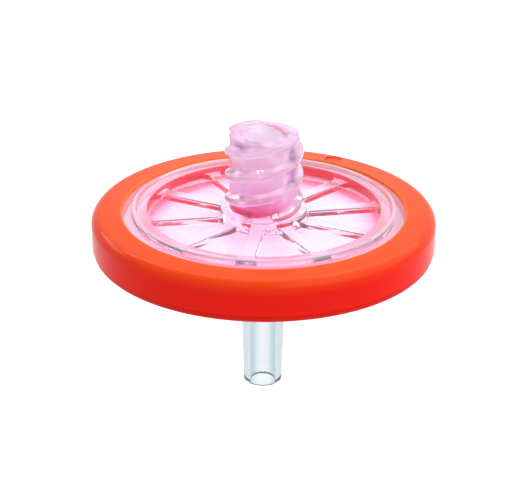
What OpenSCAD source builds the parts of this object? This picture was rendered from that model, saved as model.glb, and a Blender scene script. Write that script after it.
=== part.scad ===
// Disposable syringe filter: a membrane disc clamped between two ribbed
// housings, whose rims are held together by an overmoulded ring.
// Millimetres. +Z points out of the inlet, towards the syringe, and the origin
// is the centre of the inlet's mouth.

/* [Ring] */
// Outside diameter of the overmoulded ring
ring_d = 34.4; // [28:0.2:44]
// Thickness of the ring outside the housings' flanges
ring_wall = 1.6; // [1:0.1:2.5]
// How far the ring's lips reach inwards over the flanges
lip_grip = 1.5; // [0.8:0.1:1.8]
// Thickness of the lip over the inlet flange
top_lip_t = 1; // [0.9:0.05:1.6]
// Thickness of the lip under the outlet flange
bottom_lip_t = 1; // [0.9:0.05:1.6]
// Rounding of each lip's inner edge
lip_r = 0.2; // [0.05:0.05:0.2]
// How far the ring's upper face falls from the lip out to the shoulder
face_fall = 0.12; // [0:0.01:0.2]
// Rounding of the ring's upper outer edge
shoulder_r = 1; // [0.3:0.05:1.2]
// Rounding of the ring's lower outer edge
foot_r = 0.3; // [0.1:0.05:0.35]
// Height of the narrower foot band below the parting line
foot_h = 0.7; // [0.4:0.05:0.8]
// Step from the ring's side in to the foot band
foot_step = 0.12; // [0.05:0.01:0.3]
// Diameter of the gate mark on the ring's upper face
gate_d = 1.7; // [1:0.1:2]
// Distance from the lip's rounding to the gate mark
gate_inset = 0.1; // [0.05:0.05:0.3]
// Depth of the gate mark at its middle
gate_depth = 0.12; // [0.05:0.01:0.3]
// Direction of the gate mark, counter-clockwise from +X
gate_az = 61; // [0:1:360]

/* [Housings] */
// Thickness of the inlet housing's flange
inlet_flange_t = 1.1; // [0.9:0.05:2]
// Thickness of the outlet housing's flange
outlet_flange_t = 1.05; // [0.9:0.05:2]
// Width of the flat strip next to the ring
strip_w = 0.8; // [0.6:0.05:1.5]
// Width of the rounded bead inside the strip
bead_w = 0.7; // [0.5:0.05:0.9]
// Height of the bead above the land
bead_rise = 0.2; // [0.1:0.01:0.3]
// Width of the land between the bead and the well
land_w = 0.95; // [0.6:0.05:2]
// Depth of the flat strip below the ring's face
strip_drop = 0.25; // [0.2:0.01:0.35]
// Height of the land above the strip
land_rise = 0.35; // [0.2:0.01:0.45]
// Depth of the well from the land to its floor
well_depth = 1.1; // [0.8:0.05:1.3]
// Thickness of each housing's plate at the well's floor
plate_t = 0.8; // [0.6:0.05:0.95]
// Number of stiffening ribs in each well
rib_count = 10; // [6:1:16]
// Width of a stiffening rib
rib_w = 1.4; // [0.8:0.1:2]
// Rounding of the pockets' corners between the ribs
pocket_r = 0.5; // [0.2:0.05:0.6]
// Height of an inlet rib above the well's floor
rib_h = 0.6; // [0.3:0.05:0.8]
// Direction of the first rib, counter-clockwise from +X
rib_az = 10; // [0:1:36]
// Diameter of the collar around each luer's root
collar_d = 8.7; // [8.6:0.1:12]
// Height of the inlet collar above the land
collar_rise = 0; // [0:0.05:0.5]

/* [Inlet luer] */
// Height of the inlet barrel above the land
barrel_h = 7.86; // [7.6:0.02:12]
// Outside diameter of the barrel
barrel_d = 6.85; // [6:0.05:7.2]
// Diameter of the tapered socket at its mouth
socket_d = 4.3; // [4.2:0.01:4.35]
// Depth of the tapered socket
socket_depth = 7.5; // [6:0.1:8]
// Width of the lead-in chamfer at the socket's mouth
lead_in = 0.3; // [0.1:0.05:0.5]
// Crest diameter of the luer lock thread
thread_d = 7.8; // [7.6:0.05:8.2]
// Rise of the thread in one turn
thread_lead = 5; // [4:0.5:6]
// Number of thread starts
thread_starts = 2; // [1:1:2]
// Width of a thread ridge at the barrel
thread_root_w = 1.25; // [1:0.05:1.5]
// Width of a thread ridge at its crest
thread_crest_w = 0.6; // [0.3:0.05:0.9]
// Direction in which a ridge's middle crosses the mouth's plane
thread_az = 132; // [0:1:360]
// How far a ridge's middle climbs past the mouth before the ridge ends
thread_runout = 0.43; // [0.2:0.01:0.5]

/* [Outlet luer] */
// Length of the male cone
cone_len = 8.4; // [7.5:0.1:10]
// Diameter of the male cone at its end
cone_d = 3.96; // [3.9:0.01:4]
// Rounding of the cone's end
cone_r = 0.2; // [0.1:0.05:0.3]
// Length of the hub between the plate and the cone
hub_len = 6.8; // [3:0.1:10]
// Diameter of the hub where the cone starts
hub_d = 5.6; // [5:0.1:7]
// Diameter of the hub at the plate
hub_root_d = 6.2; // [5.6:0.1:8]
// Luer taper: change of diameter for each length
luer_taper = 0.06; // [0.055:0.001:0.065]
// Diameter of the flow passage through both luers
passage_d = 2.6; // [1.5:0.05:2.8]

/* [Flow chamber] */
// Thickness of the membrane
membrane_t = 0.2; // [0.1:0.01:0.3]
// Gap between the membrane's edge and the ring's inner edge
membrane_margin = 0.3; // [0.2:0.05:0.8]
// Width of the membrane's edge that the housings clamp
clamp_w = 1; // [0.6:0.05:1.4]
// How far the chamber's ceiling rises towards the inlet passage
ceiling_rise = 0.2; // [0:0.05:0.3]
// Depth of the drain channels below the membrane
drain_h = 0.4; // [0.3:0.05:0.5]
// Width of a circular membrane support
support_w = 0.5; // [0.3:0.05:0.8]
// Distance from one circular support to the next
support_pitch = 1.2; // [0.9:0.05:2]
// Number of radial drain channels through the supports
drain_count = 8; // [4:1:12]
// Width of a radial drain channel
drain_w = 0.8; // [0.5:0.1:1.2]

/* [Hidden] */

$fn = 96;
overlap = 0.05;           // how far joined shapes run into each other
thread_steps = 48;        // thread sections in one turn
thread_bury = 0.3;        // depth of the thread's root inside the barrel

// Radii, from the ring's outside inwards
ring_r = ring_d / 2;
face_r = ring_r - shoulder_r;
flange_r = ring_r - ring_wall;
window_r = flange_r - lip_grip;
bead_mid_r = window_r - strip_w - bead_w / 2;
well_r = window_r - strip_w - bead_w - land_w;
membrane_r = window_r - membrane_margin;
chamber_r = membrane_r - clamp_w;
collar_r = collar_d / 2;
barrel_r = barrel_d / 2;
thread_r = thread_d / 2;
passage_r = passage_d / 2;

// Heights, from the mouth at zero downwards
land_z = -barrel_h;
strip_z = land_z - land_rise;
bead_z = land_z + bead_rise - bead_w / 2;
ring_top = strip_z + strip_drop;
shoulder_z = ring_top - face_fall;
flange_top = ring_top - top_lip_t;
seam_z = flange_top - inlet_flange_t;
flange_bottom = seam_z - outlet_flange_t;
ring_bottom = flange_bottom - bottom_lip_t;
collar_top = land_z + collar_rise;

// The inlet plate and the outlet plate
floor_z = land_z - well_depth;
rib_top = floor_z + rib_h;
ceiling_z = floor_z - plate_t;
seat_z = seam_z - membrane_t;
drain_z = seat_z - drain_h;
outlet_floor = drain_z - plate_t;
outlet_strip_z = ring_bottom + strip_drop;
hub_end = ring_bottom - hub_len;
tip_z = hub_end - cone_len;

// Luer sizes
socket_end_z = -socket_depth;
socket_end_r = (socket_d - luer_taper * socket_depth) / 2;
cone_root_r = (cone_d + luer_taper * cone_len) / 2;

// One outside corner of a profile, rounded: what is cut away from it, with the
// corner at the origin and the material to the lower left
module corner_cut(r) {
    translate([-r, -r])
        difference() {
            square(r + overlap);
            circle(r);
        }
}

// A solid of revolution about Z from a profile in radius and height
module turned() {
    rotate_extrude() children();
}

// Evenly spaced copies about Z
module around(count, first = 0) {
    for (i = [0 : count - 1])
        rotate(first + 360 * i / count) children();
}

// A bar from one radius to another, on +X
module radial_bar(r_in, r_out, width, z_low, z_high) {
    translate([r_in, -width / 2, z_low])
        cube([r_out - r_in, width, z_high - z_low]);
}

// One rounded corner of a pocket, between a rib on +X and a round wall that
// lies inwards of the pocket (side = 1) or outwards of it (side = -1)
module pocket_corner(wall_r, side) {
    mid_r = wall_r + side * pocket_r;
    mid_y = rib_w / 2 + pocket_r;
    mid = [sqrt(mid_r ^ 2 - mid_y ^ 2), mid_y];
    buried_y = rib_w / 2 - overlap;
    buried_r = wall_r - side * overlap;
    difference() {
        polygon([
            mid,
            [mid[0], buried_y],
            [sqrt(buried_r ^ 2 - buried_y ^ 2), buried_y],
            mid * buried_r / mid_r
        ]);
        translate(mid) circle(pocket_r);
    }
}

// The ribs in a well, with rounded corners where they meet its walls
module ribs(z_low, z_high) {
    around(rib_count, rib_az) {
        radial_bar(collar_r - overlap, well_r + overlap, rib_w, z_low, z_high);
        for (way = [0, 1])
            mirror([0, way])
                translate([0, 0, z_low])
                    linear_extrude(z_high - z_low) {
                        pocket_corner(collar_r, 1);
                        pocket_corner(well_r, -1);
                    }
    }
}

// One section of a thread ridge: radius, and height from the ridge's middle.
// Its flanks run on straight into the barrel.
ridge_round = (thread_r - barrel_r) * 0.3;
flank_slope = (thread_root_w - thread_crest_w) / 2 / (thread_r - barrel_r);
root_half_w = thread_root_w / 2 + flank_slope * thread_bury;
ridge_flank = [
    [barrel_r - thread_bury, root_half_w],
    [thread_r - ridge_round, thread_crest_w / 2 + flank_slope * ridge_round],
    [thread_r, thread_crest_w / 2 - ridge_round / 2]
];
ridge = concat(
    [for (p = ridge_flank) [p[0], -p[1]]],
    [for (i = [2 : -1 : 0]) ridge_flank[i]]
);

// One start of the thread, from above the mouth down into the collar
module thread_start() {
    reach = thread_runout - collar_top + thread_root_w;
    sections = ceil(thread_steps * reach / thread_lead);
    n = len(ridge);
    points = [
        for (i = [0 : sections])
            let (turn = i / thread_steps, z = thread_runout - turn * thread_lead)
                for (p = ridge)
                    [p[0] * cos(-360 * turn), p[0] * sin(-360 * turn), z + p[1]]
    ];
    faces = concat(
        [[for (k = [0 : n - 1]) k]],
        [[for (k = [n - 1 : -1 : 0]) sections * n + k]],
        [
            for (i = [0 : sections - 1], k = [0 : n - 1])
                let (a = i * n + k, b = i * n + (k + 1) % n)
                    [b, a, a + n, b + n]
        ]
    );
    polyhedron(points, faces, convexity = 6);
}

// The luer lock thread, cut level with the mouth and ending in the collar
module luer_thread() {
    first = thread_az + 360 * thread_runout / thread_lead;
    intersection() {
        around(thread_starts, first) thread_start();
        translate([0, 0, collar_top - thread_bury])
            cylinder(r = thread_r + 1, h = thread_bury - collar_top);
    }
}

// Upper half: barrel with its socket, ribbed plate, bead and clamped flange
module inlet_profile() {
    polygon([
        [socket_d / 2 + lead_in, 0],
        [barrel_r, 0],
        [barrel_r, collar_top],
        [collar_r, collar_top],
        [collar_r, floor_z],
        [well_r, floor_z],
        [well_r, land_z],
        [bead_mid_r, land_z],
        [bead_mid_r, strip_z],
        [window_r, strip_z],
        [window_r, flange_top],
        [flange_r, flange_top],
        [flange_r, seam_z],
        [chamber_r, seam_z],
        [chamber_r, ceiling_z],
        [passage_r, ceiling_z + ceiling_rise],
        [passage_r, socket_end_z],
        [socket_end_r, socket_end_z],
        [socket_d / 2, -lead_in]
    ]);
    translate([bead_mid_r, bead_z]) circle(bead_w / 2);
}

module inlet_housing() {
    color([0.98, 0.72, 0.9, 0.5]) {
        turned() inlet_profile();
        ribs(floor_z - overlap, rib_top);
        luer_thread();
    }
}

// Lower half: membrane seat, drained plate, hub and male cone
module outlet_profile() {
    difference() {
        polygon([
            [passage_r, tip_z],
            [cone_d / 2, tip_z],
            [cone_root_r, hub_end],
            [hub_d / 2, hub_end],
            [hub_root_d / 2, ring_bottom],
            [collar_r, ring_bottom],
            [collar_r, outlet_floor],
            [well_r, outlet_floor],
            [well_r, outlet_strip_z],
            [window_r, outlet_strip_z],
            [window_r, flange_bottom],
            [flange_r, flange_bottom],
            [flange_r, seam_z],
            [membrane_r, seam_z],
            [membrane_r, seat_z],
            [chamber_r, seat_z],
            [chamber_r, drain_z],
            [passage_r, drain_z]
        ]);
        translate([cone_d / 2, tip_z]) mirror([0, 1]) corner_cut(cone_r);
    }
}

// Circular supports under the membrane, cut through by the drain channels
module membrane_supports() {
    support_rings = floor((chamber_r - passage_r - support_w) / support_pitch);
    difference() {
        turned()
            for (i = [1 : support_rings])
                translate([passage_r + i * support_pitch - support_w, drain_z - overlap])
                    square([support_w, drain_h + overlap]);
        around(drain_count, rib_az)
            radial_bar(0, chamber_r, drain_w, drain_z, seat_z + overlap);
    }
}

module outlet_housing() {
    color([0.9, 0.95, 0.97, 0.5]) {
        turned() outlet_profile();
        membrane_supports();
        ribs(outlet_strip_z, outlet_floor + overlap);
    }
}

module membrane() {
    color("white")
        translate([0, 0, seat_z]) cylinder(r = membrane_r, h = membrane_t);
}

// C-shaped band that grips both flanges
module ring_profile() {
    difference() {
        polygon([
            [window_r, ring_bottom],
            [ring_r, ring_bottom],
            [ring_r, shoulder_z],
            [face_r, shoulder_z],
            [window_r + lip_r, ring_top],
            [window_r, ring_top]
        ]);
        translate([window_r - overlap, flange_bottom])
            square([flange_r - window_r + overlap, flange_top - flange_bottom]);
        translate([window_r, ring_top]) mirror([1, 0]) corner_cut(lip_r);
        translate([window_r, ring_bottom]) rotate(180) corner_cut(lip_r);
        translate([ring_r, shoulder_z]) corner_cut(shoulder_r);
        translate([ring_r - foot_step, ring_bottom - overlap])
            square([foot_step + overlap, foot_h + overlap]);
        translate([ring_r - foot_step, ring_bottom]) mirror([0, 1]) corner_cut(foot_r);
    }
}

module overmold_ring() {
    gate_r = window_r + lip_r + gate_inset + gate_d / 2;
    gate_fall = face_fall * (gate_r - window_r - lip_r) / (face_r - window_r - lip_r);
    color([0.98, 0.27, 0.05])
        difference() {
            turned() ring_profile();
            rotate(gate_az)
                translate([gate_r, 0, ring_top - gate_fall - gate_depth])
                    cylinder(d = gate_d, h = gate_fall + gate_depth + overlap, $fn = 48);
        }
}

inlet_housing();
outlet_housing();
membrane();
overmold_ring();
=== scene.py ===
"""A disposable syringe filter, dressed for the studio.

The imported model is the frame. Both housings and the ring are turned again here
with their roundings, and each stands for its solid. The membrane keeps its own
solid and takes a finish. Lengths are millimetres until a piece is finished, and
metres from then on. Heights in a finish are millimetres, and lamps and the floor
are placed in metres.
"""

import logging
import math
from collections.abc import Callable, Sequence
from dataclasses import dataclass, field
from enum import Enum

import bmesh
import bpy
from mathutils import Matrix, Quaternion, Vector

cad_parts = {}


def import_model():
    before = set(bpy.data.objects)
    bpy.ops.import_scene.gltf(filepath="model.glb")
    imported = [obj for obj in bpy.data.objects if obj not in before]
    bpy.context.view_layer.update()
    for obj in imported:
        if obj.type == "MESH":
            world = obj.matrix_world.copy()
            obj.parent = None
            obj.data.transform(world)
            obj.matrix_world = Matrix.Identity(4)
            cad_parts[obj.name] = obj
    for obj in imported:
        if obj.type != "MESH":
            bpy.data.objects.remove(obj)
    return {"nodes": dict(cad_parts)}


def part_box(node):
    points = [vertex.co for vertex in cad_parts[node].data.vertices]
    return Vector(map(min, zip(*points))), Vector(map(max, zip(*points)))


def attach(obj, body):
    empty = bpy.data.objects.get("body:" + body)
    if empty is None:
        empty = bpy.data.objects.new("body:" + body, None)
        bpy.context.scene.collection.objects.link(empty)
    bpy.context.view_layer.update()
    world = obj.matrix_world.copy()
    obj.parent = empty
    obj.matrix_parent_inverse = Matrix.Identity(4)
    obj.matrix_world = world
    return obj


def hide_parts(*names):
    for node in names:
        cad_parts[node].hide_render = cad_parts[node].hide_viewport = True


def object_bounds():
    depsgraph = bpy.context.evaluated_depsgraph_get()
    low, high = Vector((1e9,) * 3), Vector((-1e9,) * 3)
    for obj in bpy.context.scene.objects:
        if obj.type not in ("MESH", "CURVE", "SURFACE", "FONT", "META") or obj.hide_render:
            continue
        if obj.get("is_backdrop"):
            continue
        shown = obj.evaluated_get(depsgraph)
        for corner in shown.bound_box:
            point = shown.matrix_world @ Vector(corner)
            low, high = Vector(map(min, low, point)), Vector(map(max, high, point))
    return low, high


LOG = logging.getLogger("syringe_filter")

Material = bpy.types.Material
Piece = bpy.types.Object
Socket = bpy.types.NodeSocket
Colour = tuple[float, float, float]
Stops = Sequence[tuple[float, Colour]]

MM = 0.001
BODY = "root"
TURN_STEPS = 180
CONTACT = 0.02  # how far a piece reaches into the clear plastic it is bonded to
FULL_TURN = 2 * math.pi
SHARP_ANGLE = math.radians(35)
RING_STEPS = 240
GATE_STEPS = 48
ON_AXIS = 0.0001  # an outline's radius at the axis, which a spin then closes
MERGE = 1e-5  # vertices of a workpiece closer than this are one
WELD = 1e-4  # the same for a piece that has been joined
SUNK = 0.05  # how far ribs and supports start inside their plate
BOND_MARGIN = 0.3  # how far the bond stays from the ring's two faces
ON_CUT = 1e-6  # how near a vertex counts as lying on a saw cut
STEPS_PER_MM = 10  # chords in each millimetre that a corner is rounded
LEAST_STEPS = 3
EASING_STEPS = 4
NOISE_RANGE = (0.3, 0.7)  # where nearly all values of a noise lie


class Join(Enum):
    """How one workpiece acts on another."""

    ADD = "UNION"
    CUT = "DIFFERENCE"


class Side(Enum):
    """The side of a level that a saw cut takes away."""

    ABOVE = 1
    BELOW = -1


@dataclass(frozen=True)
class Corner:
    """A corner of a turned outline: radius, height and how far it is rounded."""

    r: float
    z: float
    rounding: float = 0.0


def arc(
    centre: tuple[float, float],
    radius: float,
    start: float,
    end: float,
    steps: int = 8,
) -> list[tuple[float, float]]:
    """Points along an arc in a plane.

    Args:
        centre: The arc's centre.
        radius: The arc's radius.
        start: Direction of the first point, in degrees.
        end: Direction of the last point, in degrees.
        steps: How many chords the arc has.

    Returns:
        The points from start to end.
    """
    ways = [math.radians(start + (end - start) * i / steps) for i in range(steps + 1)]
    return [
        (centre[0] + radius * math.cos(way), centre[1] + radius * math.sin(way))
        for way in ways
    ]


class Blank:
    """A workpiece in millimetres, shaped with mesh operators."""

    def __init__(self) -> None:
        """Starts with nothing on the bench."""
        self.bm = bmesh.new()

    def everything(self) -> list:
        """All vertices, edges and faces."""
        return self.bm.verts[:] + self.bm.edges[:] + self.bm.faces[:]

    def spin(self, **how: object) -> None:
        """Spins all that is on the blank about Z."""
        centre, axis = (0, 0, 0), (0, 0, 1)
        bmesh.ops.spin(self.bm, geom=self.everything(), cent=centre, axis=axis, **how)

    def swing(self, azimuth: float) -> None:
        """Turns the blank about Z, by an angle in degrees."""
        way = Matrix.Rotation(math.radians(azimuth), 3, "Z")
        bmesh.ops.rotate(self.bm, verts=self.bm.verts, cent=(0, 0, 0), matrix=way)

    def close(self) -> "Blank":
        """Caps each open end, merges doubles and turns the faces outwards.

        Returns:
            The blank.
        """
        bmesh.ops.remove_doubles(self.bm, verts=self.bm.verts, dist=MERGE)
        rims = [edge for edge in self.bm.edges if edge.is_boundary]
        bmesh.ops.holes_fill(self.bm, edges=rims, sides=0)
        bmesh.ops.recalc_face_normals(self.bm, faces=self.bm.faces)
        return self

    def outline(self, corners: Sequence[Corner]) -> "Blank":
        """Lays out a closed outline in the XZ plane, with its corners rounded.

        Args:
            corners: The corners in order, each with its own rounding.

        Returns:
            The blank, holding the outline's edges alone.
        """
        points = [self.bm.verts.new((c.r, 0.0, c.z)) for c in corners]
        self.bm.faces.new(points)
        for point, corner in zip(points, corners):
            if corner.rounding > 0:
                bmesh.ops.bevel(
                    self.bm,
                    geom=[point],
                    offset=corner.rounding,
                    offset_type="OFFSET",
                    segments=max(LEAST_STEPS, round(STEPS_PER_MM * corner.rounding)),
                    profile=0.5,
                    affect="VERTICES",
                    material=-1,
                )
        bmesh.ops.delete(self.bm, geom=self.bm.faces[:], context="FACES_ONLY")
        return self

    def turn(self, steps: int = TURN_STEPS) -> "Blank":
        """Turns the outline on the blank into a closed body about Z."""
        self.spin(angle=FULL_TURN, steps=steps, use_merge=True)
        return self.close()

    def wind(self, azimuth: float, turns: float, lead: float, steps: int) -> "Blank":
        """Winds the outline on the blank down a right-hand helix about Z.

        Args:
            azimuth: Where the helix starts, in degrees.
            turns: How many turns it makes.
            lead: How far it goes down in one turn.
            steps: Sections along the whole way.

        Returns:
            The blank, with both ends capped.
        """
        self.swing(azimuth)
        self.spin(
            dvec=(0, 0, -lead * turns / steps), angle=-FULL_TURN * turns, steps=steps
        )
        return self.close()

    def saw(self, level: float, side: Side) -> "Blank":
        """Cuts off what is above or below a level, and closes the cut.

        Args:
            level: Height of the cut.
            side: The side of the cut that is taken away.

        Returns:
            The blank.
        """
        bmesh.ops.bisect_plane(
            self.bm,
            geom=self.everything(),
            dist=ON_CUT,
            plane_co=(0, 0, level),
            plane_no=(0, 0, side.value),
            clear_outer=True,
        )
        return self.close()

    def slab(
        self, plan: Sequence[tuple[float, float]], low: float, high: float
    ) -> "Blank":
        """Adds a prism over a closed plan, from one level to another.

        Args:
            plan: Corners seen from above, in order.
            low: Height of its underside.
            high: Height of its top.

        Returns:
            The blank.
        """
        corners = [self.bm.verts.new((x, y, low)) for x, y in plan]
        base = self.bm.faces.new(corners)
        top = bmesh.ops.extrude_face_region(self.bm, geom=[base])["geom"]
        bmesh.ops.translate(
            self.bm,
            verts=[part for part in top if isinstance(part, bmesh.types.BMVert)],
            vec=(0, 0, high - low),
        )
        bmesh.ops.recalc_face_normals(self.bm, faces=self.bm.faces)
        return self

    def bar(
        self, inner: float, outer: float, width: float, low: float, high: float
    ) -> "Blank":
        """Adds a square bar along X, from one radius to another.

        Args:
            inner: Where the bar starts on X.
            outer: Where it ends on X.
            width: Its size along Y.
            low: Height of its underside.
            high: Height of its top.

        Returns:
            The blank.
        """
        bmesh.ops.create_cube(
            self.bm,
            size=1.0,
            matrix=Matrix.LocRotScale(
                Vector(((inner + outer) / 2, 0, (low + high) / 2)),
                None,
                Vector((outer - inner, width, high - low)),
            ),
        )
        return self

    def ease(
        self, rounding: float, wanted: Callable[[bmesh.types.BMEdge], bool]
    ) -> "Blank":
        """Rounds over the edges that a test picks out.

        Args:
            rounding: How far each edge is rounded.
            wanted: The test that an edge has to pass.

        Returns:
            The blank.
        """
        bmesh.ops.bevel(
            self.bm,
            geom=[edge for edge in self.bm.edges if wanted(edge)],
            offset=rounding,
            offset_type="OFFSET",
            segments=EASING_STEPS,
            profile=0.5,
            affect="EDGES",
            material=-1,
        )
        return self

    def around(self, count: int, first: float) -> "Blank":
        """Copies what is on the blank evenly about Z, from a first azimuth.

        Args:
            count: How many there are in the end.
            first: Direction of the first, in degrees.

        Returns:
            The blank.
        """
        self.swing(first)
        if count > 1:
            self.spin(
                angle=FULL_TURN * (count - 1) / count,
                steps=count - 1,
                use_duplicate=True,
            )
        return self

    def object(self, name: str) -> Piece:
        """Takes the workpiece off the bench as an object, still in millimetres.

        Args:
            name: The name of the object and its mesh.

        Returns:
            The object, which is in the scene.
        """
        bmesh.ops.recalc_face_normals(self.bm, faces=self.bm.faces)
        mesh = bpy.data.meshes.new(name)
        self.bm.to_mesh(mesh)
        self.bm.free()
        piece = bpy.data.objects.new(name, mesh)
        bpy.context.scene.collection.objects.link(piece)
        return piece


def joined(base: Piece, steps: Sequence[tuple[Join, Piece]]) -> None:
    """Adds workpieces to a base, or cuts them out of it, one after another.

    Args:
        base: The object that is changed.
        steps: How each tool acts, and the tool, which is used up.
    """
    for how, tool in steps:
        modifier = base.modifiers.new(tool.name, "BOOLEAN")
        modifier.operation = how.value
        modifier.solver = "MANIFOLD"
        modifier.object = tool
    graph = bpy.context.evaluated_depsgraph_get()
    result = bpy.data.meshes.new_from_object(base.evaluated_get(graph))
    base.modifiers.clear()
    old, base.data = base.data, result
    bpy.data.meshes.remove(old)
    for _, tool in steps:
        mesh = tool.data
        bpy.data.objects.remove(tool)
        bpy.data.meshes.remove(mesh)


def finished(piece: Piece, node: str) -> None:
    """Brings a piece to metres, shades it and puts it in its node's place.

    Args:
        piece: The piece, in millimetres.
        node: The solid that it stands for.
    """
    bm = bmesh.new()
    bm.from_mesh(piece.data)
    bmesh.ops.remove_doubles(bm, verts=bm.verts, dist=WELD)
    bmesh.ops.dissolve_degenerate(bm, dist=WELD, edges=bm.edges)
    bmesh.ops.scale(bm, vec=(MM, MM, MM), verts=bm.verts)
    bmesh.ops.recalc_face_normals(bm, faces=bm.faces)
    for face in bm.faces:
        face.smooth = True
    bm.to_mesh(piece.data)
    open_edges = sum(1 for edge in bm.edges if not edge.is_manifold)
    bm.free()
    piece.data.set_sharp_from_angle(angle=SHARP_ANGLE)
    weighted = piece.modifiers.new("flat faces stay flat", "WEIGHTED_NORMAL")
    weighted.keep_sharp = True
    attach(piece, BODY)
    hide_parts(node)
    LOG.info(
        "%s: %d faces, %d open edges", piece.name, len(piece.data.polygons), open_edges
    )


def coat(piece: Piece, material: Material) -> None:
    """Gives a piece one material throughout.

    Args:
        piece: The finished piece.
        material: Its material.
    """
    piece.data.materials.clear()
    piece.data.materials.append(material)
    LOG.info("%s takes %s", piece.name, material.name)


class Finish:
    """A material's node tree, with short ways to add and join its nodes."""

    def __init__(self, name: str) -> None:
        """Starts a material that holds an output node alone.

        Args:
            name: The material's name.
        """
        self.material = bpy.data.materials.new(name)
        self.material.use_nodes = True
        self.tree = self.material.node_tree
        self.tree.nodes.clear()
        self.output = self.node("ShaderNodeOutputMaterial")

    def node(self, kind: str, **values: object) -> bpy.types.Node:
        """Adds a node and sets its properties and plain input values.

        Args:
            kind: The node's type name.
            **values: Properties by name, or inputs with spaces as underscores.

        Returns:
            The new node.
        """
        node = self.tree.nodes.new(kind)
        for name, value in values.items():
            if name in node.bl_rna.properties:
                setattr(node, name, value)
            else:
                node.inputs[name.replace("_", " ")].default_value = value
        return node

    def link(self, source: Socket, target: Socket) -> None:
        """Joins an output to an input."""
        self.tree.links.new(source, target)

    def place(self) -> Socket:
        """Where a point lies, in the piece's own coordinates."""
        return self.node("ShaderNodeTexCoord").outputs["Object"]

    def level_length(self, vector: Socket) -> Socket:
        """A vector's length as seen from above.

        Args:
            vector: The vector.

        Returns:
            The length of its part in the XY plane.
        """
        level = self.node("ShaderNodeVectorMath", operation="MULTIPLY")
        level.inputs[1].default_value = (1, 1, 0)
        self.link(vector, level.inputs[0])
        length = self.node("ShaderNodeVectorMath", operation="LENGTH")
        self.link(level.outputs[0], length.inputs[0])
        return length.outputs["Value"]

    def way_between(
        self, length: Socket, near: float, far: float, **kind: str
    ) -> Socket:
        """How far a length lies between two others.

        Args:
            length: The length, in metres.
            near: The length, in millimetres, that gives 0.
            far: The length, in millimetres, that gives 1.
            **kind: How the share runs, where it isn't straight.

        Returns:
            The share of the way, from 0 to 1.
        """
        share = self.node("ShaderNodeMapRange", **kind)
        share.inputs["From Min"].default_value = near * MM
        share.inputs["From Max"].default_value = far * MM
        self.link(length, share.inputs["Value"])
        return share.outputs["Result"]

    def height(self, low: float, high: float) -> Socket:
        """How far up a point lies between two heights, in millimetres.

        Args:
            low: The height that gives 0.
            high: The height that gives 1.

        Returns:
            The share of the way, from 0 to 1.
        """
        axes = self.node("ShaderNodeSeparateXYZ")
        self.link(self.place(), axes.inputs[0])
        return self.way_between(axes.outputs["Z"], low, high)

    def distance_out(self, near: float, far: float) -> Socket:
        """How far out a point lies between two radii, in millimetres."""
        return self.way_between(self.level_length(self.place()), near, far)

    def near_line(self, azimuth: float, radius: float, half_width: float) -> Socket:
        """How close a point lies to an upright line.

        Args:
            azimuth: Direction of the line from the axis, in degrees.
            radius: Its distance from the axis, in millimetres.
            half_width: The distance, in millimetres, that gives 0.

        Returns:
            The closeness, from 0 away from the line to 1 on it.
        """
        offset = self.node("ShaderNodeVectorMath", operation="SUBTRACT")
        offset.inputs[1].default_value = (
            radius * MM * math.cos(math.radians(azimuth)),
            radius * MM * math.sin(math.radians(azimuth)),
            0,
        )
        self.link(self.place(), offset.inputs[0])
        away = self.level_length(offset.outputs[0])
        return self.way_between(away, half_width, 0.0, interpolation_type="SMOOTHSTEP")

    def product(self, first: Socket, second: Socket) -> Socket:
        """Two values multiplied.

        Args:
            first: One value.
            second: The other value.

        Returns:
            Their product.
        """
        both = self.node("ShaderNodeMath", operation="MULTIPLY")
        self.link(first, both.inputs[0])
        self.link(second, both.inputs[1])
        return both.outputs[0]

    def blended(self, share: Socket, base: Socket, colour: Colour) -> Socket:
        """A colour that takes over from a base colour by a share.

        Args:
            share: How far it takes over, from 0 to 1.
            base: The colour underneath.
            colour: The colour on top.

        Returns:
            The blended colour.
        """
        mix = self.node("ShaderNodeMix", data_type="RGBA")
        mix.inputs[7].default_value = (*colour, 1)
        self.link(share, mix.inputs[0])
        self.link(base, mix.inputs[6])
        return mix.outputs[2]

    def tinted(self, first: Socket, second: Socket) -> Socket:
        """Two colours multiplied.

        Args:
            first: One colour.
            second: The other colour.

        Returns:
            Their product.
        """
        mix = self.node("ShaderNodeMix", data_type="RGBA", blend_type="MULTIPLY")
        mix.inputs[0].default_value = 1.0
        self.link(first, mix.inputs[6])
        self.link(second, mix.inputs[7])
        return mix.outputs[2]

    def ramp(self, share: Socket, stops: Stops) -> Socket:
        """Colours along a value, from two or more stops in rising order.

        Args:
            share: The value, from 0 to 1.
            stops: Each stop's place and colour.

        Returns:
            The colour at the value.
        """
        ramp = self.node("ShaderNodeValToRGB")
        marks = ramp.color_ramp.elements
        marks[0].position, marks[1].position = stops[0][0], stops[-1][0]
        marks[0].color, marks[1].color = (*stops[0][1], 1), (*stops[-1][1], 1)
        for position, colour in stops[1:-1]:
            marks.new(position).color = (*colour, 1)
        self.link(share, ramp.inputs[0])
        return ramp.outputs["Color"]

    def grain(self, scale: float, detail: float = 2.0) -> Socket:
        """Even noise through the piece, in its own coordinates.

        Args:
            scale: Waves in a metre.
            detail: Octaves of finer noise.

        Returns:
            The noise's value.
        """
        noise = self.node("ShaderNodeTexNoise", Scale=scale, Detail=detail)
        self.link(self.place(), noise.inputs["Vector"])
        return noise.outputs[0]

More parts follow.
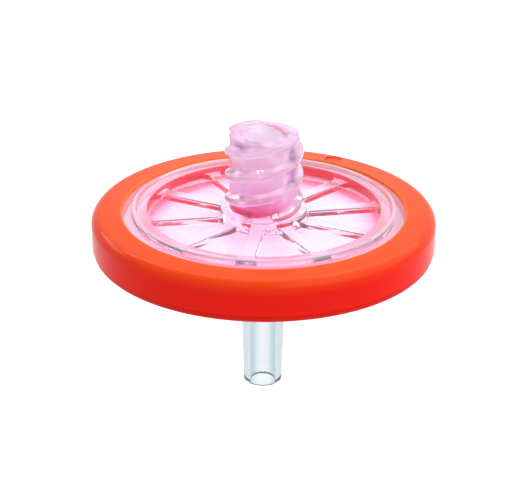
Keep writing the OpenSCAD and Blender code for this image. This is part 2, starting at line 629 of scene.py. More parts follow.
    def spread(self, value: Socket, low: float, high: float) -> Socket:
        """Maps the values that a noise mostly has onto a range.

        Args:
            value: The noise's value.
            low: What the low end of NOISE_RANGE gives.
            high: What its high end gives.

        Returns:
            The mapped value, which stays in the range.
        """
        spread = self.node("ShaderNodeMapRange")
        for name, number in zip(
            ("From Min", "From Max", "To Min", "To Max"), (*NOISE_RANGE, low, high)
        ):
            spread.inputs[name].default_value = number
        self.link(value, spread.inputs["Value"])
        return spread.outputs["Result"]

    def bumps(self, height: Socket, depth: float, strength: float = 1.0) -> Socket:
        """A normal from a height.

        Args:
            height: A height from 0 to 1.
            depth: What a height of 1 stands for, in metres.
            strength: The share of the bumps that shows.

        Returns:
            The bent normal.
        """
        bump = self.node("ShaderNodeBump", Strength=strength, Distance=depth)
        self.link(height, bump.inputs["Height"])
        return bump.outputs["Normal"]


@dataclass(frozen=True)
class DarkStreak:
    """An upright darker streak on the wall, a painted dark reflection."""

    azimuth: float
    low: float
    high: float
    half_width: float = 0.9
    fade: float = 0.5
    radius: float = 3.3

    def share(self, finish: Finish) -> Socket:
        """How much of the streak's colour shows.

        Args:
            finish: The material that the streak belongs to.

        Returns:
            The share, from 0 to 1.
        """
        ends = finish.product(
            finish.height(self.low - self.fade, self.low + self.fade),
            finish.height(self.high + self.fade, self.high - self.fade),
        )
        line = finish.near_line(self.azimuth, self.radius, self.half_width)
        ragged = finish.spread(finish.grain(700, 3), 0.55, 1.0)
        return finish.product(finish.product(ends, line), ragged)


@dataclass(frozen=True)
class ClearPlastic:
    """Clear moulded plastic with a faint colour of its own and a little haze, with painted
    highlights, reflections and shade laid on where they are given.
    """

    name: str
    tints: Stops
    span: tuple[float, float]
    body: Colour
    density: float
    clarity: tuple[float, float]
    clarity_span: tuple[float, float]
    polish: tuple[float, float]
    streaks: tuple[DarkStreak, ...] = ()
    streak_colour: Colour = (0.32, 0.1, 0.4)
    crest: tuple[float, float] = (0.0, 0.0)
    crest_highlight_colour: Colour = (1.0, 0.9, 1.0)
    rim: tuple[float, float] = (0.0, 0.0)
    rim_haze: float = 0.0
    rim_colour: Colour = (1.0, 0.87, 0.98)
    index: float = 1.49
    slant_shade: Stops = ()

    def material(self) -> Material:
        """Builds the material, which lets lamps shine through to the membrane.

        Returns:
            The material.
        """
        finish = Finish(self.name)
        skin = finish.node("ShaderNodeBsdfPrincipled", IOR=self.index)
        # Tints by height; on the inlet they hold a painted reflection of the ring's red at
        # the barrel's foot.
        tint = finish.ramp(finish.height(*self.span), self.tints)
        # Painted highlight on the outer parts of the thread, above the plate.
        if self.crest[1] > 0:
            crest = finish.product(
                finish.distance_out(*self.crest),
                finish.height(*self.clarity_span),
            )
            tint = finish.blended(crest, tint, self.crest_highlight_colour)
        # Painted dark reflections, as upright streaks.
        for streak in self.streaks:
            tint = finish.blended(streak.share(finish), tint, self.streak_colour)
        if self.rim_haze > 0:
            milky = finish.distance_out(*self.rim)
            tint = finish.blended(milky, tint, self.rim_colour)
        # Painted shade: greyer where the surface is seen half aslant.
        if self.slant_shade:
            facing = finish.node("ShaderNodeLayerWeight", Blend=0.5)
            tint = finish.tinted(
                tint, finish.ramp(facing.outputs["Facing"], self.slant_shade)
            )
        finish.link(tint, skin.inputs["Base Color"])
        if self.clarity[0] == self.clarity[1] and not self.rim_haze:
            skin.inputs["Transmission Weight"].default_value = self.clarity[0]
        else:
            haze = finish.node("ShaderNodeMapRange")
            haze.inputs["To Min"].default_value = self.clarity[0]
            haze.inputs["To Max"].default_value = self.clarity[1]
            finish.link(finish.height(*self.clarity_span), haze.inputs["Value"])
            clear = haze.outputs["Result"]
            if self.rim_haze > 0:
                clear = finish.product(
                    clear, finish.spread(milky, 1.0, 1.0 - self.rim_haze)
                )
            finish.link(clear, skin.inputs["Transmission Weight"])
        finish.link(
            finish.spread(finish.grain(420, 3), *self.polish),
            skin.inputs["Roughness"],
        )
        finish.link(
            finish.bumps(finish.grain(160), 0.00002), skin.inputs["Normal"]
        )
        pane = finish.node("ShaderNodeBsdfTransparent")
        finish.link(tint, pane.inputs["Color"])
        rays = finish.node("ShaderNodeLightPath")
        mix = finish.node("ShaderNodeMixShader")
        finish.link(rays.outputs["Is Shadow Ray"], mix.inputs[0])
        finish.link(skin.outputs[0], mix.inputs[1])
        finish.link(pane.outputs[0], mix.inputs[2])
        finish.link(mix.outputs[0], finish.output.inputs["Surface"])
        body = finish.node("ShaderNodeVolumeAbsorption", Density=self.density)
        body.inputs["Color"].default_value = (*self.body, 1)
        finish.link(body.outputs[0], finish.output.inputs["Volume"])
        return finish.material


@dataclass(frozen=True)
class RingPlastic:
    """Orange plastic with a soft gloss, painted lighter and more orange at the top and
    darker at the foot as light and shade, with a painted highlight along the lip's edge
    and painted shade round the gate pit.
    """

    name: str
    colours: Stops
    span: tuple[float, float]
    gate: tuple[float, float, float]
    # The inside faces' finish: a painted glow that stands in for light through the ring's
    # wall.
    bond_colour: Colour = (0.85, 0.04, 0.06)
    bond_glow_colour: Colour = (0.9, 0.04, 0.07)
    bond_glow_strength: float = 0.35
    bond_mottle: float = 0.94
    # A painted highlight along the lip's inner top edge: its radii, how far below the top
    # it reaches, and its colour.
    edge: tuple[float, float] = (14.4, 14.2)
    lip_highlight_depths: tuple[float, float] = (0.4, 0.2)
    lip_highlight_colour: Colour = (1.0, 0.2, 0.012)
    # Painted shade in a thin ring round the gate pit's rim.
    gate_rim_shade_colour: Colour = (0.72, 0.045, 0.001)
    outline_level: float = 0.5
    outline_reach: float = 0.09
    index: float = 1.45
    shine: float = 0.15

    def material(self) -> Material:
        """Builds the finish of the outside.

        Returns:
            The material.
        """
        finish = Finish(self.name)
        skin = finish.node(
            "ShaderNodeBsdfPrincipled", IOR=self.index, Specular_IOR_Level=self.shine
        )
        # Painted light and shade: lighter and more orange at the top, darker at the foot.
        colour = finish.ramp(finish.height(*self.span), self.colours)
        # Painted highlight along the lip's inner top edge.
        painted_lip_highlight = finish.product(
            finish.distance_out(*self.edge),
            finish.height(*(self.span[1] - drop for drop in self.lip_highlight_depths)),
        )
        colour = finish.blended(painted_lip_highlight, colour, self.lip_highlight_colour)
        # Painted shade round the gate pit's rim.
        azimuth, distance, radius = self.gate
        outline = finish.node("ShaderNodeMath", operation="COMPARE")
        outline.inputs[1].default_value = self.outline_level
        outline.inputs[2].default_value = self.outline_reach
        finish.link(
            finish.near_line(azimuth, distance, radius * 2), outline.inputs[0]
        )
        colour = finish.blended(outline.outputs[0], colour, self.gate_rim_shade_colour)
        finish.link(colour, skin.inputs["Base Color"])
        finish.link(
            finish.spread(finish.grain(500, 3), 0.07, 0.14),
            skin.inputs["Roughness"],
        )
        finish.link(
            finish.bumps(finish.grain(220), 0.00001), skin.inputs["Normal"]
        )
        finish.link(skin.outputs[0], finish.output.inputs["Surface"])
        return finish.material

    def bond_glow_material(self) -> Material:
        """Builds the finish of the inside, which glows as if lit through the wall.

        Returns:
            The material.
        """
        finish = Finish(f"{self.name}_bond")
        skin = finish.node(
            "ShaderNodeBsdfPrincipled",
            Roughness=0.6,
            Emission_Strength=self.bond_glow_strength,
        )
        skin.inputs["Emission Color"].default_value = (*self.bond_glow_colour, 1)
        mix = finish.node("ShaderNodeMix", data_type="RGBA")
        finish.link(finish.spread(finish.grain(300), 0, 1), mix.inputs[0])
        mix.inputs[6].default_value = (*self.bond_colour, 1)
        darker = (self.bond_mottle * part for part in self.bond_colour)
        mix.inputs[7].default_value = (*darker, 1)
        finish.link(mix.outputs[2], skin.inputs["Base Color"])
        finish.link(skin.outputs[0], finish.output.inputs["Surface"])
        return finish.material


@dataclass(frozen=True)
class PorousSheet:
    """Matt white filter membrane, painted red near its edge as the ring's red light
    falling on it.
    """

    name: str
    colours: Stops
    edge: tuple[float, float]

    def material(self) -> Material:
        """Builds the material.

        Returns:
            The material.
        """
        finish = Finish(self.name)
        skin = finish.node("ShaderNodeBsdfPrincipled", Roughness=0.85)
        # Painted light: red and pink near the edge, as light through the ring's red.
        colour = finish.ramp(finish.distance_out(*self.edge), self.colours)
        shade = finish.ramp(
            finish.spread(finish.grain(400), 0, 1),
            ((0.0, (0.96, 0.96, 0.96)), (1.0, (1.0, 1.0, 1.0))),
        )
        finish.link(finish.tinted(colour, shade), skin.inputs["Base Color"])
        finish.link(
            finish.bumps(finish.grain(9000, 4), 0.00004), skin.inputs["Normal"]
        )
        finish.link(skin.outputs[0], finish.output.inputs["Surface"])
        return finish.material


@dataclass
class RibPattern:
    """The radial stiffening ribs in a well, in step on both housings."""

    count: int = 10
    width: float = 1.4
    corner: float = 0.5
    first: float = 10.0
    easing: float = 0.12
    buried: float = 0.1

    def plan(self, inner: float, outer: float) -> list[tuple[float, float]]:
        """One rib seen from above, on +X, with flared ends.

        Args:
            inner: Radius of the wall at its inner end.
            outer: Radius of the wall at its outer end.

        Returns:
            The closed plan, which reaches into both walls.
        """
        mid_y = self.width / 2 + self.corner
        in_x = math.sqrt((inner + self.corner) ** 2 - mid_y**2)
        out_x = math.sqrt((outer - self.corner) ** 2 - mid_y**2)
        in_turn = math.degrees(math.atan2(mid_y, in_x))
        out_turn = math.degrees(math.atan2(mid_y, out_x))
        side = (
            arc((0, 0), inner - self.buried, in_turn, in_turn, 1)[:1]
            + arc((in_x, mid_y), self.corner, in_turn - 180, -90)
            + arc((out_x, mid_y), self.corner, -90, out_turn)
            + arc((0, 0), outer + self.buried, out_turn, out_turn, 1)[:1]
        )
        return side + [(x, -y) for x, y in reversed(side)]

    def blank(self, inner: float, outer: float, root: float, crest: float) -> Blank:
        """Ribs between two round walls.

        Args:
            inner: Radius of the wall at their inner end.
            outer: Radius of the wall at their outer end.
            root: Height at which they start inside the plate.
            crest: Height of their free face.

        Returns:
            All ribs on one blank.
        """
        low, high = min(root, crest), max(root, crest)
        ribs = Blank().slab(self.plan(inner, outer), low, high)
        reach = (inner - self.buried / 2, outer + self.buried / 2)
        ribs.ease(
            self.easing,
            lambda edge: all(abs(v.co.z - crest) < WELD for v in edge.verts)
            and any(reach[0] < v.co.xy.length < reach[1] for v in edge.verts),
        )
        return ribs.around(self.count, self.first)


@dataclass
class LuerThread:
    """The two-start luer lock thread round the inlet barrel."""

    barrel_r: float
    crest_r: float = 3.9
    lead: float = 5.0
    starts: int = 2
    root_width: float = 1.25
    crest_width: float = 0.6
    azimuth: float = 132.0
    run_out: float = 0.43
    buried: float = 0.3
    steps_per_turn: int = 90

    def blank(self, mouth: float, end: float) -> Blank:
        """Both ridges, cut level with the mouth.

        Args:
            mouth: Height of the mouth's plane.
            end: Height at which the ridges end inside the collar.

        Returns:
            The ridges on one blank.
        """
        flank = (self.root_width - self.crest_width) / 2
        slope = flank / (self.crest_r - self.barrel_r)
        root = self.root_width / 2 + slope * self.buried
        tip = self.crest_width / 2
        start = mouth + self.run_out
        ridge = Blank().outline(
            [
                Corner(self.barrel_r - self.buried, start - root),
                Corner(self.crest_r, start - tip, 0.14),
                Corner(self.crest_r, start + tip, 0.14),
                Corner(self.barrel_r - self.buried, start + root),
            ]
        )
        turns = (start - end + self.root_width) / self.lead
        ridge.wind(
            self.azimuth + 360 * self.run_out / self.lead,
            turns,
            self.lead,
            math.ceil(turns * self.steps_per_turn),
        )
        ridge.around(self.starts, 0)
        return ridge.saw(mouth - CONTACT, Side.ABOVE).saw(end, Side.BELOW)


@dataclass
class InletHousing:
    """Upper half: threaded barrel, ribbed plate, bead and clamped flange."""

    mouth: float
    seam: float
    flange_r: float
    ribs: RibPattern
    barrel_r: float = 3.425
    socket_r: float = 2.15
    socket_end_r: float = 1.925
    socket_depth: float = 7.5
    lead_in: float = 0.3
    passage_r: float = 1.3
    collar_r: float = 4.35
    collar: float = -7.86
    land: float = -7.86
    floor: float = -8.96
    rib_crest: float = -8.36
    well_r: float = 11.65
    bead_mid_r: float = 12.95
    bead_mid: float = -8.01
    bead_r: float = 0.35
    strip: float = -8.21
    window_r: float = 14.1
    flange: float = -8.96
    chamber_r: float = 12.8
    clamp_width: float = 1.0
    ceiling: float = -9.76
    ceiling_rise: float = 0.2
    thread_sunk: float = 0.3
    thread: LuerThread = field(init=False)

    def __post_init__(self) -> None:
        """Fits the thread to the barrel."""
        self.thread = LuerThread(self.barrel_r)

    def bead(self) -> list[Corner]:
        """The round bead between the land and the strip.

        Returns:
            Points along the bead, from the inside outwards.
        """
        up = math.degrees(math.asin((self.land - self.bead_mid) / self.bead_r))
        down = math.degrees(math.asin((self.bead_mid - self.strip) / self.bead_r))
        middle = (self.bead_mid_r, self.bead_mid)
        return [
            Corner(r, z) for r, z in arc(middle, self.bead_r, 180 - up, -down, 18)
        ]

    def outline(self) -> list[Corner]:
        """The turned outline, from the mouth outwards and back up the bore.

        Returns:
            The corners in order, which close the outline.
        """
        clamped = self.chamber_r + self.clamp_width
        seam = self.seam - CONTACT
        return [
            Corner(self.socket_r + self.lead_in, self.mouth, 0.04),
            Corner(self.barrel_r, self.mouth, 0.12),
            Corner(self.barrel_r, self.collar, 0.2),
            Corner(self.collar_r, self.collar, 0.15),
            Corner(self.collar_r, self.floor, 0.2),
            Corner(self.well_r, self.floor, 0.2),
            Corner(self.well_r, self.land, 0.12),
            *self.bead(),
            Corner(self.window_r, self.strip),
            Corner(self.window_r, self.flange),
            Corner(self.flange_r, self.flange),
            Corner(self.flange_r, self.seam),
            Corner(clamped, self.seam),
            Corner(clamped - CONTACT, seam),
            Corner(self.chamber_r, seam, 0.1),
            Corner(self.chamber_r, self.ceiling, 0.1),
            Corner(self.passage_r, self.ceiling + self.ceiling_rise, 0.2),
            Corner(self.passage_r, self.mouth - self.socket_depth, 0.1),
            Corner(self.socket_end_r, self.mouth - self.socket_depth, 0.1),
            Corner(self.socket_r, self.mouth - self.lead_in, 0.1),
        ]

    def build(self) -> Piece:
        """Turns the housing and adds its ribs and thread.

        Returns:
            The finished piece.
        """
        piece = Blank().outline(self.outline()).turn().object("inlet_half")
        ribs = self.ribs.blank(
            self.collar_r, self.well_r, self.floor - SUNK, self.rib_crest
        )
        thread = self.thread.blank(self.mouth, self.collar - self.thread_sunk)
        joined(
            piece,
            [
                (Join.ADD, ribs.object("ribs")),
                (Join.ADD, thread.object("thread")),
            ],
        )
        finished(piece, "inlet_housing")
        return piece

    def dress(self, piece: Piece) -> None:
        """Gives the housing its pink plastic, clear in the plate and milky above, with a
        painted red reflection at the barrel's foot, painted highlights on the thread
        crests and two painted dark reflections.

        Args:
            piece: The built housing.
        """
        plastic = ClearPlastic(
            name="pink_clear_plastic",
            tints=(
                (0.0, (1.0, 0.95, 1.0)),
                (0.08, (1.0, 0.95, 1.0)),
                # Painted reflection: the deep red band at the barrel's foot stands for the
                # ring's red seen through the plastic.
                (0.11, (1.0, 0.16, 0.4)),
                (0.17, (1.0, 0.25, 0.55)),
                (0.25, (0.99, 0.7, 0.97)),
                (0.5, (1.0, 0.87, 1.0)),
                (0.96, (1.0, 0.9, 1.0)),
                (0.98, (0.98, 0.76, 0.99)),
                (1.0, (0.98, 0.76, 0.99)),
            ),
            span=(-8.5, 0.0),
            body=(1.0, 0.55, 0.94),
            density=45,
            clarity=(0.97, 0.66),
            clarity_span=(-7.9, -7.5),
            polish=(0.02, 0.07),
            # Two painted dark reflections on the barrel, on one side only.
            streaks=(
                DarkStreak(azimuth=-37.0, low=-4.8, high=-0.5, half_width=1.0),
                DarkStreak(
                    azimuth=-134.0, low=-0.85, high=-0.25, half_width=1.6, fade=0.3
                ),
            ),
            # Painted highlight on the thread crests.
            crest=(3.45, 3.8),
            rim=(11.5, 11.9),
            rim_haze=0.17,
        )
        coat(piece, plastic.material())


@dataclass
class OutletHousing:
    """Lower half: membrane seat, drained plate, hub and male luer cone."""

    tip: float
    seam: float
    flange_r: float
    membrane_r: float
    seat: float
    ribs: RibPattern
    ring_bottom: float
    passage_r: float = 1.3
    cone_r: float = 1.98
    cone_root_r: float = 2.232
    cone_root: float = -18.91
    cone_easing: float = 0.2
    hub_r: float = 2.8
    hub_root_r: float = 3.1
    collar_r: float = 4.35
    well_r: float = 11.65
    floor: float = -11.46
    strip: float = -11.86
    window_r: float = 14.1
    flange: float = -11.11
    chamber_r: float = 12.8
    drain: float = -10.66
    support_width: float = 0.5
    support_pitch: float = 1.2
    drains: int = 8
    drain_width: float = 0.8
    drain_from_r: float = 0.9
    drain_overcut: float = 0.2
    drain_overrun: float = 0.3

    def outline(self) -> list[Corner]:
        """The turned outline, from the cone's end outwards and back inside.

        Returns:
            The corners in order, which close the outline.
        """
        return [
            Corner(self.passage_r, self.tip, 0.05),
            Corner(self.cone_r, self.tip, self.cone_easing),
            Corner(self.cone_root_r, self.cone_root, 0.15),
            Corner(self.hub_r, self.cone_root, 0.12),
            Corner(self.hub_root_r, self.ring_bottom, 0.3),
            Corner(self.collar_r, self.ring_bottom, 0.12),
            Corner(self.collar_r, self.floor, 0.15),
            Corner(self.well_r, self.floor, 0.15),
            Corner(self.well_r, self.strip, 0.1),
            Corner(self.window_r, self.strip),
            Corner(self.window_r, self.flange),
            Corner(self.flange_r, self.flange),
            Corner(self.flange_r, self.seam - CONTACT),
            Corner(self.membrane_r, self.seam - CONTACT),
            Corner(self.membrane_r - CONTACT, self.seat + CONTACT),
            Corner(self.chamber_r, self.seat + CONTACT, 0.1),
            Corner(self.chamber_r, self.drain, 0.1),
            Corner(self.passage_r, self.drain, 0.1),
        ]

    def supports(self) -> Piece:
        """The circular supports under the membrane, cut by the drains.

        Returns:
            The supports, in millimetres.
        """
        room = self.chamber_r - self.passage_r - self.support_width
        rings = Blank()
        for step in range(1, math.floor(room / self.support_pitch) + 1):
            outer = self.passage_r + step * self.support_pitch
            inner = outer - self.support_width
            hoop = Blank().outline(
                [
                    Corner(inner, self.drain - SUNK),
                    Corner(outer, self.drain - SUNK),
                    Corner(outer, self.seat - CONTACT, 0.08),
                    Corner(inner, self.seat - CONTACT, 0.08),
                ]
            )
            hoop.turn()
            mesh = bpy.data.meshes.new("hoop")
            hoop.bm.to_mesh(mesh)
            hoop.bm.free()
            rings.bm.from_mesh(mesh)
            bpy.data.meshes.remove(mesh)
        supports = rings.object("supports")
        drains = (
            Blank()
            .bar(
                self.drain_from_r,
                self.chamber_r + self.drain_overrun,
                self.drain_width,
                self.drain - self.drain_overcut,
                self.seat + self.drain_overcut,
            )
            .around(self.drains, self.ribs.first)
        )
        joined(supports, [(Join.CUT, drains.object("drains"))])
        return supports

    def build(self) -> Piece:
        """Turns the housing and adds its supports and ribs.

        Returns:
            The finished piece.
        """
        piece = Blank().outline(self.outline()).turn().object("outlet_half")
        ribs = self.ribs.blank(
            self.collar_r, self.well_r, self.floor + SUNK, self.strip
        )
        joined(
            piece,
            [(Join.ADD, self.supports()), (Join.ADD, ribs.object("ribs"))],
        )
        finished(piece, "outlet_housing")
        return piece

    def dress(self, piece: Piece) -> None:
        """Gives the housing its clear plastic, with painted grey shade where it is seen
        half aslant.

        Args:
            piece: The built housing.
        """
        plastic = ClearPlastic(
            name="clear_plastic",
            tints=((0.0, (0.98, 1.0, 1.0)), (1.0, (1.0, 1.0, 1.0))),
            span=(-28.0, -10.0),
            body=(0.7, 0.79, 0.84),
            density=60,
            clarity=(0.98, 0.98),
            clarity_span=(-28.0, -10.0),
            polish=(0.02, 0.08),
            # Painted shade by how aslant the surface is seen.
            slant_shade=(
                (0.0, (1.0, 1.0, 1.0)),
                (0.1, (1.0, 1.0, 1.0)),
                (0.3, (0.58, 0.72, 0.79)),
                (0.62, (0.58, 0.72, 0.79)),
                (0.9, (0.95, 0.98, 1.0)),
                (1.0, (0.95, 0.98, 1.0)),
            ),
        )
        coat(piece, plastic.material())


@dataclass
class OvermoldRing:
    """C-shaped band that grips both flanges."""

    outer_r: float
    top: float
    bottom: float
    flange_r: float
    window_r: float = 14.1
    flange_top: float = -8.96
    flange_bottom: float = -11.11
    lip: float = 0.2
    lips_to_face: float = 1.2
    face_fall: float = 0.12
    shoulder: float = 1.0
    foot: float = 0.3
    foot_height: float = 0.7
    foot_step: float = 0.12
    groove: float = 0.06
    gate_r: float = 0.85
    gate_at: float = 15.25
    gate_azimuth: float = 61.0
    gate_depth: float = 0.12
    gate_overcut: float = 0.3

    def face(self, r: float) -> float:
        """Height of the upper face, which falls outwards, at a radius.

        Args:
            r: The radius.

        Returns:
            The height there.
        """
        inner = self.window_r + self.lip
        span = self.outer_r - self.shoulder - inner
        return self.top - self.face_fall * max(0.0, r - inner) / span

    def outline(self) -> list[Corner]:
        """The C-shaped section, with its inside bonded to the flanges.

        Returns:
            The corners in order, which close the outline.
        """
        foot_r = self.outer_r - self.foot_step
        parting = self.bottom + self.foot_height
        return [
            Corner(self.window_r, self.top, self.lip),
            Corner(self.window_r + self.lips_to_face * self.lip, self.top, 0.03),
            Corner(self.outer_r, self.face(self.outer_r), self.shoulder),
            Corner(self.outer_r, parting, 0.04),
            Corner(foot_r - self.groove, parting, 0.02),
            Corner(foot_r, parting - self.groove, 0.03),
            Corner(foot_r, self.bottom, self.foot),
            Corner(self.window_r, self.bottom, self.lip),
            Corner(self.window_r - CONTACT, self.flange_bottom + CONTACT),
            Corner(self.flange_r - CONTACT, self.flange_bottom + CONTACT),
            Corner(self.flange_r - CONTACT, self.flange_top - CONTACT),
            Corner(self.window_r - CONTACT, self.flange_top - CONTACT),
        ]

    def build(self) -> Piece:
        """Turns the ring and sinks the gate mark.

        Returns:
            The finished piece.
        """
        piece = Blank().outline(self.outline()).turn(RING_STEPS).object("orange_ring")
        pit = self.face(self.gate_at) - self.gate_depth
        gate = Blank().outline(
            [
                Corner(ON_AXIS, pit),
                Corner(self.gate_r, pit, 0.05),
                Corner(self.gate_r, self.top + self.gate_overcut),
                Corner(ON_AXIS, self.top + self.gate_overcut),
            ]
        )
        gate.turn(GATE_STEPS)
        at = Vector((self.gate_at, 0, 0))
        at.rotate(Matrix.Rotation(math.radians(self.gate_azimuth), 3, "Z"))
        bmesh.ops.translate(gate.bm, verts=gate.bm.verts, vec=at)
        joined(piece, [(Join.CUT, gate.object("gate"))])
        finished(piece, "overmold_ring")
        return piece

    def dress(self, piece: Piece) -> None:
        """Gives the ring its orange plastic, with painted light and shade, and its inside
        faces a painted glow.

        Args:
            piece: The built ring.
        """
        plastic = RingPlastic(
            name="orange_plastic",
            # Painted light and shade: a darker foot, the deep red side, and a lighter,
            # more orange top.
            colours=(
                (0.0, (0.82, 0.007, 0.0003)),
                (0.165, (0.82, 0.007, 0.0003)),
                (0.18, (0.98, 0.008, 0.0003)),
                (0.66, (0.98, 0.008, 0.0003)),
                (0.8, (0.99, 0.03, 0.001)),
                (0.93, (0.99, 0.06, 0.001)),
                (1.0, (0.99, 0.09, 0.001)),
            ),
            span=(self.bottom, self.top),
            gate=(self.gate_azimuth, self.gate_at, self.gate_r),
        )
        coat(piece, plastic.material())
        # Faces inside the ring, bonded to the flanges, take the painted glow.
        piece.data.materials.append(plastic.bond_glow_material())
        lowest, highest = self.bottom + BOND_MARGIN, self.top - BOND_MARGIN
        for face in piece.data.polygons:
            middle = face.center / MM
            if middle.xy.length < self.flange_r and lowest < middle.z < highest:
                face.material_index = 1


@dataclass
class Membrane:
    """The porous disc, which keeps the frame's own solid."""

    node: Piece
    painted_light_radii: tuple[float, float] = (8.5, 13.5)

    def dress(self) -> None:
        """Gives the disc its porous finish, with a painted red band of light from the ring
        near its edge.
        """
        material = PorousSheet(
            # White in the middle; the red and pink band is painted light from the ring.
            name="porous_membrane",
            colours=(
                (0.0, (0.85, 0.86, 0.85)),
                (0.28, (0.86, 0.78, 0.85)),
                (0.46, (0.88, 0.5, 0.7)),
                (0.58, (0.91, 0.22, 0.36)),
                (0.66, (0.92, 0.08, 0.14)),
                (0.72, (0.92, 0.08, 0.14)),
                (0.79, (0.9, 0.55, 0.7)),
                (0.84, (0.88, 0.76, 0.85)),
                (1.0, (0.88, 0.8, 0.86)),
            ),
            edge=self.painted_light_radii,
        ).material()
        for slot in self.node.material_slots:
            slot.material = material


@dataclass
class SyringeFilter:
    """The whole filter, with its sizes read from the frame's solids."""

    membrane: Membrane

    def build(self) -> None:
        """Builds every piece, and then dresses them all."""
        inlet_low, inlet_high = (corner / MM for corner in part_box("inlet_housing"))
        outlet_low, _ = (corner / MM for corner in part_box("outlet_housing"))
        ring_low, ring_high = (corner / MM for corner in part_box("overmold_ring"))
        sheet_low, sheet_high = (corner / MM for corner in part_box("membrane"))
        ribs = RibPattern()
        parts = (
            InletHousing(
                mouth=inlet_high.z,
                seam=inlet_low.z,
                flange_r=inlet_high.x,
                ribs=ribs,
            ),
            OutletHousing(
                tip=outlet_low.z,
                seam=inlet_low.z,
                flange_r=inlet_high.x,
                membrane_r=sheet_high.x,
                seat=sheet_low.z,
                ribs=ribs,
                ring_bottom=ring_low.z,
            ),
            OvermoldRing(
                outer_r=ring_high.x,
                top=ring_high.z,
                bottom=ring_low.z,
                flange_r=inlet_high.x,
            ),
        )
        pieces = [part.build() for part in parts]
        for part, piece in zip(parts, pieces):
            part.dress(piece)
        self.membrane.dress()


@dataclass(frozen=True)
class Viewpoint:
    """The camera, whose stand and aim are in millimetres and whose clip is not."""

    stand: tuple[float, float, float] = (0.0, -154.459, 58.950)
    aim: tuple[float, float, float] = (-0.356, 0.0, -11.506)
    roll: float = 0.32
    lens: float = 116.7
    sensor: float = 36.0
    clip: tuple[float, float] = (0.01, 20.0)

    def set_up(self) -> None:
        """Makes the camera and the scene's use of it."""
        data = bpy.data.cameras.new("camera")
        data.lens = self.lens
        data.sensor_width = self.sensor
        data.clip_start, data.clip_end = self.clip
        camera = bpy.data.objects.new("camera", data)
        stand, aim = Vector(self.stand) * MM, Vector(self.aim) * MM
        camera.location = stand
        camera.rotation_mode = "QUATERNION"
        camera.rotation_quaternion = (aim - stand).to_track_quat(
            "-Z", "Y"
        ) @ Quaternion((0, 0, 1), math.radians(self.roll))
        bpy.context.scene.collection.objects.link(camera)
        bpy.context.scene.camera = camera


@dataclass(frozen=True)
class Softbox:
    """A rectangular lamp aimed at the filter, or hung level, in metres."""

    name: str
    stand: tuple[float, float, float]
    size: tuple[float, float]
    brightness: float
    level: bool = False
    aim: tuple[float, float, float] = (0.0, 0.0, -0.01)

    def set_up(self) -> None:
        """Makes the lamp, as bright to look at as its brightness says."""
        lamp = bpy.data.lights.new(self.name, "AREA")
        lamp.shape = "RECTANGLE"
        lamp.size, lamp.size_y = self.size
        lamp.energy = self.brightness * math.pi * self.size[0] * self.size[1]
        box = bpy.data.objects.new(self.name, lamp)
        box.location = self.stand
        if not self.level:
            box.rotation_mode = "QUATERNION"
            box.rotation_quaternion = (
                Vector(self.aim) - Vector(self.stand)
            ).to_track_quat("-Z", "Y")
        bpy.context.scene.collection.objects.link(box)


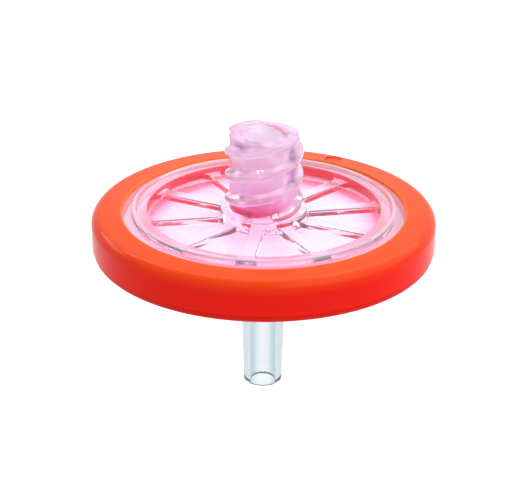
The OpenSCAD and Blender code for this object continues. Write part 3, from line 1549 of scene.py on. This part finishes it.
@dataclass(frozen=True)
class Studio:
    """The white room: its world, its floor and its lamps."""

    floor_below: float = 0.07
    floor_size: float = 6.0
    floor_sides: int = 64
    floor_grey: float = 0.9
    floor_glow: float = 0.5
    sky_level: float = 0.57
    lamps: tuple[Softbox, ...] = (
        Softbox(
            name="ceiling_panel",
            stand=(0.66, 0.06, 0.5),
            size=(1.16, 1.28),
            brightness=1.3,
            level=True,
        ),
        Softbox(
            name="back_strip",
            stand=(-0.16, 0.49, 0.48),
            size=(0.55, 0.07),
            brightness=3.0,
        ),
        Softbox(
            name="back_left",
            stand=(-0.47, 0.4, 0.33),
            size=(0.33, 0.16),
            brightness=2.5,
        ),
    )

    def set_up(self, lowest: float) -> None:
        """Lights the room.

        Args:
            lowest: Height of the filter's lowest point, in metres.
        """
        self.light_world()
        self.lay_floor(lowest - self.floor_below)
        for lamp in self.lamps:
            lamp.set_up()

    def light_world(self) -> None:
        """White to the eye, in gloss and through glass; softer as light."""
        world = bpy.data.worlds.new("white_room")
        bpy.context.scene.world = world
        world.use_nodes = True
        tree = world.node_tree
        tree.nodes.clear()
        soft, white = (tree.nodes.new("ShaderNodeBackground") for _ in range(2))
        for light, level in ((soft, self.sky_level), (white, 1.0)):
            light.inputs["Color"].default_value = (1, 1, 1, 1)
            light.inputs["Strength"].default_value = level
        rays = tree.nodes.new("ShaderNodeLightPath")
        light = soft.outputs[0]
        for kind in ("Is Glossy Ray", "Is Transmission Ray", "Is Camera Ray"):
            mix = tree.nodes.new("ShaderNodeMixShader")
            tree.links.new(rays.outputs[kind], mix.inputs[0])
            tree.links.new(light, mix.inputs[1])
            tree.links.new(white.outputs[0], mix.inputs[2])
            light = mix.outputs[0]
        output = tree.nodes.new("ShaderNodeOutputWorld")
        tree.links.new(light, output.inputs["Surface"])

    def lay_floor(self, height: float) -> None:
        """Lays the pale floor, which shows white and keeps a shadow.

        Args:
            height: Height of the floor, in metres.
        """
        bm = bmesh.new()
        bmesh.ops.create_circle(
            bm,
            cap_ends=True,
            radius=self.floor_size,
            segments=self.floor_sides,
            matrix=Matrix.Translation((0, 0, height)),
        )
        mesh = bpy.data.meshes.new("floor")
        bm.to_mesh(mesh)
        bm.free()
        floor = bpy.data.objects.new("floor", mesh)
        bpy.context.scene.collection.objects.link(floor)
        finish = Finish("pale_floor")
        skin = finish.node("ShaderNodeBsdfDiffuse")
        skin.inputs["Color"].default_value = (*[self.floor_grey] * 3, 1)
        glow = finish.node("ShaderNodeEmission", Strength=self.floor_glow)
        rays = finish.node("ShaderNodeLightPath")
        seen = finish.node("ShaderNodeMixShader")
        finish.link(rays.outputs["Is Camera Ray"], seen.inputs[0])
        finish.link(glow.outputs[0], seen.inputs[2])
        both = finish.node("ShaderNodeAddShader")
        finish.link(skin.outputs[0], both.inputs[0])
        finish.link(seen.outputs[0], both.inputs[1])
        finish.link(both.outputs[0], finish.output.inputs["Surface"])
        mesh.materials.append(finish.material)
        floor.visible_glossy = False
        floor.visible_transmission = False
        floor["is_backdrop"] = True


def plain_box(corners: Sequence[Vector]) -> list[list[float]]:
    """A box's two corners as plain lists of numbers."""
    return [list(corner) for corner in corners]


def main() -> None:
    """Loads the frame, takes its bounds, and builds the filter and the studio, with the
    floor under the lowest point.
    """
    logging.basicConfig(level=logging.INFO, format="%(name)s: %(message)s")
    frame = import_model()
    packed = plain_box(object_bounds())
    Viewpoint().set_up()
    SyringeFilter(Membrane(frame["nodes"]["membrane"])).build()
    Studio().set_up(packed[0][2])
    bpy.context.scene.view_settings.view_transform = "Standard"


if __name__ == "__main__":
    main()
